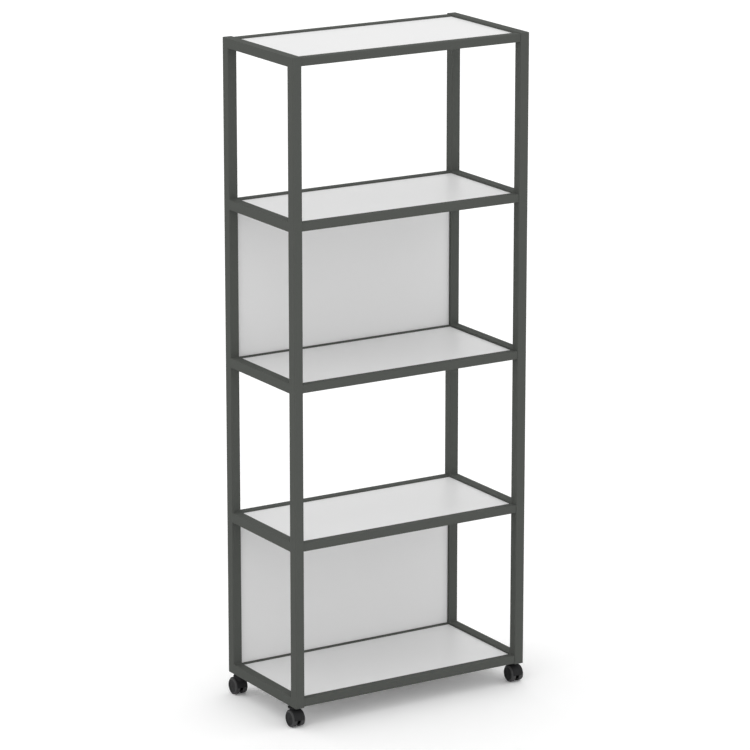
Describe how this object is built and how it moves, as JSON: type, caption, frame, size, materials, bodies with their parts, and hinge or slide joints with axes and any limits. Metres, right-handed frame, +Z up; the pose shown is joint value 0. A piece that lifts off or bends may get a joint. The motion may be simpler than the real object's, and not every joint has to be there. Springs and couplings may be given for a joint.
{
  "type": "mobile bookcase",
  "caption": "Tall open bookcase with a dark square-tube frame, white shelves let in between the rails, two white back panels and twin-wheel castors.",
  "frame": {"origin": "on the floor, under the centre of the bookcase", "axes": "+X to the right seen from the front, +Y to the back, where the panels are, +Z up"},
  "size_m": [0.811, 0.4, 2],
  "materials": {
    "powder_coat": "fine-textured matt powder coat, graphite grey",
    "white_board": "matt white melamine on particle board",
    "castor_plastic": "moulded black nylon, satin",
    "castor_wheel": "moulded black nylon with a dark grey tread",
    "zinc_steel": "bright zinc plate"
  },
  "bodies": {
    "frame": {"front_left_post": "powder_coat", "front_left_castor_stem": "zinc_steel", "front_right_post": "powder_coat", "front_right_castor_stem": "zinc_steel", "back_left_post": "powder_coat", "back_left_castor_stem": "zinc_steel", "back_right_post": "powder_coat", "back_right_castor_stem": "zinc_steel", "bottom_left_side_rail": "powder_coat", "bottom_right_side_rail": "powder_coat", "bottom_front_rail": "powder_coat", "bottom_back_rail": "powder_coat", "bottom_shelf": "white_board", "lower_left_side_rail": "powder_coat", "lower_right_side_rail": "powder_coat", "lower_front_rail": "powder_coat", "lower_back_rail": "powder_coat", "lower_shelf": "white_board", "middle_left_side_rail": "powder_coat", "middle_right_side_rail": "powder_coat", "middle_front_rail": "powder_coat", "middle_back_rail": "powder_coat", "middle_shelf": "white_board", "upper_left_side_rail": "powder_coat", "upper_right_side_rail": "powder_coat", "upper_front_rail": "powder_coat", "upper_back_rail": "powder_coat", "upper_shelf": "white_board", "top_left_side_rail": "powder_coat", "top_right_side_rail": "powder_coat", "top_front_rail": "powder_coat", "top_back_rail": "powder_coat", "top_shelf": "white_board", "bottom_back_panel": "white_board", "middle_back_panel": "white_board", "rail_connectors": "zinc_steel", "connector_bolts": "zinc_steel", "connector_grub_screws": "zinc_steel", "shelf_tabs": "powder_coat", "shelf_screws": "zinc_steel", "panel_tabs": "powder_coat", "panel_screws": "zinc_steel", "castor_inserts": "zinc_steel", "stem_rings": "zinc_steel"},
    "front_left_castor": {"front_left_castor_hood": "castor_plastic", "front_left_castor_axle": "zinc_steel"},
    "front_left_castor_left_wheel": {"front_left_castor_left_wheel": "castor_wheel"},
    "front_left_castor_right_wheel": {"front_left_castor_right_wheel": "castor_wheel"},
    "front_right_castor": {"front_right_castor_hood": "castor_plastic", "front_right_castor_axle": "zinc_steel"},
    "front_right_castor_left_wheel": {"front_right_castor_left_wheel": "castor_wheel"},
    "front_right_castor_right_wheel": {"front_right_castor_right_wheel": "castor_wheel"},
    "back_left_castor": {"back_left_castor_hood": "castor_plastic", "back_left_castor_axle": "zinc_steel"},
    "back_left_castor_left_wheel": {"back_left_castor_left_wheel": "castor_wheel"},
    "back_left_castor_right_wheel": {"back_left_castor_right_wheel": "castor_wheel"},
    "back_right_castor": {"back_right_castor_hood": "castor_plastic", "back_right_castor_axle": "zinc_steel"},
    "back_right_castor_left_wheel": {"back_right_castor_left_wheel": "castor_wheel"},
    "back_right_castor_right_wheel": {"back_right_castor_right_wheel": "castor_wheel"}
  },
  "joints": [
    {"name": "front_left_swivel", "type": "hinge", "parent": "frame", "child": "front_left_castor", "pos_m": [-0.385, -0.162, 0.05], "axis": [0, 0, 1], "continuous": true},
    {"name": "front_left_left_wheel_spin", "type": "hinge", "parent": "front_left_castor", "child": "front_left_castor_left_wheel", "pos_m": [-0.385, -0.17, 0.025], "axis": [1, 0, 0], "continuous": true},
    {"name": "front_left_right_wheel_spin", "type": "hinge", "parent": "front_left_castor", "child": "front_left_castor_right_wheel", "pos_m": [-0.385, -0.17, 0.025], "axis": [1, 0, 0], "continuous": true},
    {"name": "front_right_swivel", "type": "hinge", "parent": "frame", "child": "front_right_castor", "pos_m": [0.385, -0.162, 0.05], "axis": [0, 0, 1], "continuous": true},
    {"name": "front_right_left_wheel_spin", "type": "hinge", "parent": "front_right_castor", "child": "front_right_castor_left_wheel", "pos_m": [0.385, -0.17, 0.025], "axis": [1, 0, 0], "continuous": true},
    {"name": "front_right_right_wheel_spin", "type": "hinge", "parent": "front_right_castor", "child": "front_right_castor_right_wheel", "pos_m": [0.385, -0.17, 0.025], "axis": [1, 0, 0], "continuous": true},
    {"name": "back_left_swivel", "type": "hinge", "parent": "frame", "child": "back_left_castor", "pos_m": [-0.385, 0.162, 0.05], "axis": [0, 0, 1], "continuous": true},
    {"name": "back_left_left_wheel_spin", "type": "hinge", "parent": "back_left_castor", "child": "back_left_castor_left_wheel", "pos_m": [-0.385, 0.17, 0.025], "axis": [1, 0, 0], "continuous": true},
    {"name": "back_left_right_wheel_spin", "type": "hinge", "parent": "back_left_castor", "child": "back_left_castor_right_wheel", "pos_m": [-0.385, 0.17, 0.025], "axis": [1, 0, 0], "continuous": true},
    {"name": "back_right_swivel", "type": "hinge", "parent": "frame", "child": "back_right_castor", "pos_m": [0.385, 0.162, 0.05], "axis": [0, 0, 1], "continuous": true},
    {"name": "back_right_left_wheel_spin", "type": "hinge", "parent": "back_right_castor", "child": "back_right_castor_left_wheel", "pos_m": [0.385, 0.17, 0.025], "axis": [1, 0, 0], "continuous": true},
    {"name": "back_right_right_wheel_spin", "type": "hinge", "parent": "back_right_castor", "child": "back_right_castor_right_wheel", "pos_m": [0.385, 0.17, 0.025], "axis": [1, 0, 0], "continuous": true}
  ]
}
